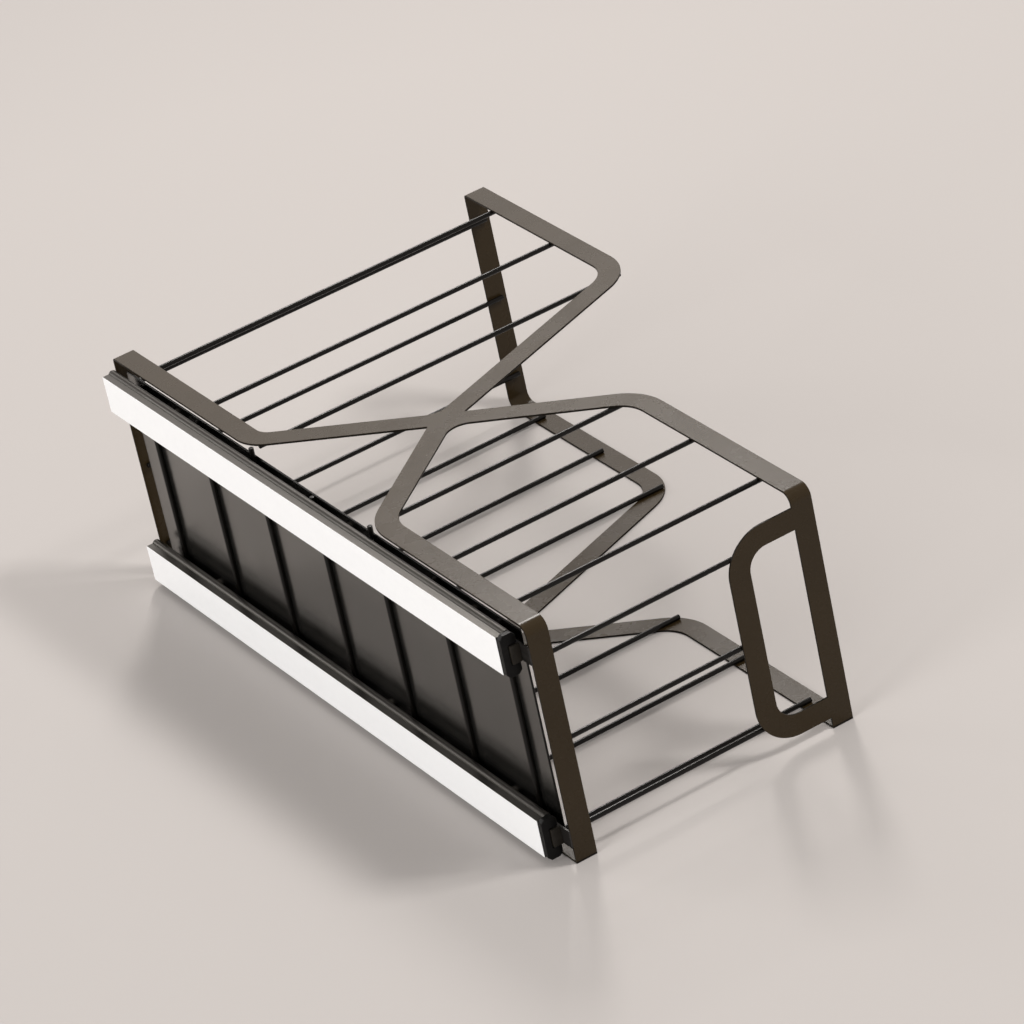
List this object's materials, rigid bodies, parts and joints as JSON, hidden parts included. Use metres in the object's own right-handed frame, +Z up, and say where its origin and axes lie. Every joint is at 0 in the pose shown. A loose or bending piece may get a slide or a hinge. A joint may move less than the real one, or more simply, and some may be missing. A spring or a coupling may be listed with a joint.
{
  "type": "pull-out storage basket",
  "caption": "Side-mounted pull-out wardrobe basket of flat bent steel with straight cross wires, a rodded side panel and a loop handle, running on two ball-bearing slides.",
  "frame": {"origin": "centre of the bounding box at its bottom, at the level of the lower tier's underside", "axes": "+Z up; -Y is the front, towards which the basket pulls out; the slides are on the -X side and +X is the free side"},
  "size_m": [0.3148, 0.522, 0.173],
  "materials": {
    "frame_steel": "satin",
    "wire_steel": "satin",
    "panel_steel": "satin",
    "slide_white": "satin",
    "slide_steel": "brushed",
    "slide_black": "satin",
    "slide_plastic": "matte",
    "zinc_steel": "polished"
  },
  "bodies": {
    "cabinet_rails": {"upper_cabinet_member": "slide_white", "upper_rear_stop": "slide_plastic", "lower_cabinet_member": "slide_white", "lower_rear_stop": "slide_plastic"},
    "basket": {"top_frame": "frame_steel", "bottom_frame": "frame_steel", "pull_handle": "frame_steel", "side_panel": "panel_steel", "panel_rod_1": "wire_steel", "panel_rod_2": "wire_steel", "panel_rod_3": "wire_steel", "panel_rod_4": "wire_steel", "panel_rod_5": "wire_steel", "panel_rod_6": "wire_steel", "panel_rod_7": "wire_steel", "upper_wire_1": "wire_steel", "upper_wire_2": "wire_steel", "upper_wire_3": "wire_steel", "upper_wire_4": "wire_steel", "upper_wire_5": "wire_steel", "upper_wire_6": "wire_steel", "lower_wire_1": "wire_steel", "lower_wire_2": "wire_steel", "lower_wire_3": "wire_steel", "lower_wire_4": "wire_steel", "lower_wire_5": "wire_steel", "lower_wire_6": "wire_steel", "rear_guard_rod_1": "wire_steel", "rear_guard_rod_2": "wire_steel", "rear_guard_rod_3": "wire_steel", "front_guard_rod_1": "wire_steel", "front_guard_rod_2": "wire_steel", "front_guard_rod_3": "wire_steel", "upper_drawer_member": "slide_black", "upper_front_cap": "slide_plastic", "upper_fixing_screws": "zinc_steel", "lower_drawer_member": "slide_black", "lower_front_cap": "slide_plastic", "lower_fixing_screws": "zinc_steel"},
    "upper_middle": {"upper_middle_member": "slide_steel", "upper_front_guide": "slide_plastic"},
    "upper_outer_run": {"upper_outer_cage": "zinc_steel", "upper_outer_balls": "zinc_steel"},
    "upper_inner_run": {"upper_inner_cage": "zinc_steel", "upper_inner_balls": "zinc_steel"},
    "lower_middle": {"lower_middle_member": "slide_steel", "lower_front_guide": "slide_plastic"},
    "lower_outer_run": {"lower_outer_cage": "zinc_steel", "lower_outer_balls": "zinc_steel"},
    "lower_inner_run": {"lower_inner_cage": "zinc_steel", "lower_inner_balls": "zinc_steel"}
  },
  "joints": [
    {"name": "basket_slide", "type": "slide", "parent": "cabinet_rails", "child": "basket", "axis": [0, -1, 0], "range_m": [0, 0.5]},
    {"name": "upper_middle_slide", "type": "slide", "parent": "cabinet_rails", "child": "upper_middle", "axis": [0, -1, 0], "range_m": [0, 0.25]},
    {"name": "upper_outer_run_slide", "type": "slide", "parent": "cabinet_rails", "child": "upper_outer_run", "axis": [0, -1, 0], "range_m": [0, 0.125]},
    {"name": "upper_inner_run_slide", "type": "slide", "parent": "upper_middle", "child": "upper_inner_run", "axis": [0, -1, 0], "range_m": [0, 0.125]},
    {"name": "lower_middle_slide", "type": "slide", "parent": "cabinet_rails", "child": "lower_middle", "axis": [0, -1, 0], "range_m": [0, 0.25]},
    {"name": "lower_outer_run_slide", "type": "slide", "parent": "cabinet_rails", "child": "lower_outer_run", "axis": [0, -1, 0], "range_m": [0, 0.125]},
    {"name": "lower_inner_run_slide", "type": "slide", "parent": "lower_middle", "child": "lower_inner_run", "axis": [0, -1, 0], "range_m": [0, 0.125]}
  ],
  "couplings": [
    {"joint": "upper_middle_slide", "follows": "basket_slide", "ratio": 0.5},
    {"joint": "upper_outer_run_slide", "follows": "basket_slide", "ratio": 0.25},
    {"joint": "upper_inner_run_slide", "follows": "basket_slide", "ratio": 0.25},
    {"joint": "lower_middle_slide", "follows": "basket_slide", "ratio": 0.5},
    {"joint": "lower_outer_run_slide", "follows": "basket_slide", "ratio": 0.25},
    {"joint": "lower_inner_run_slide", "follows": "basket_slide", "ratio": 0.25}
  ]
}
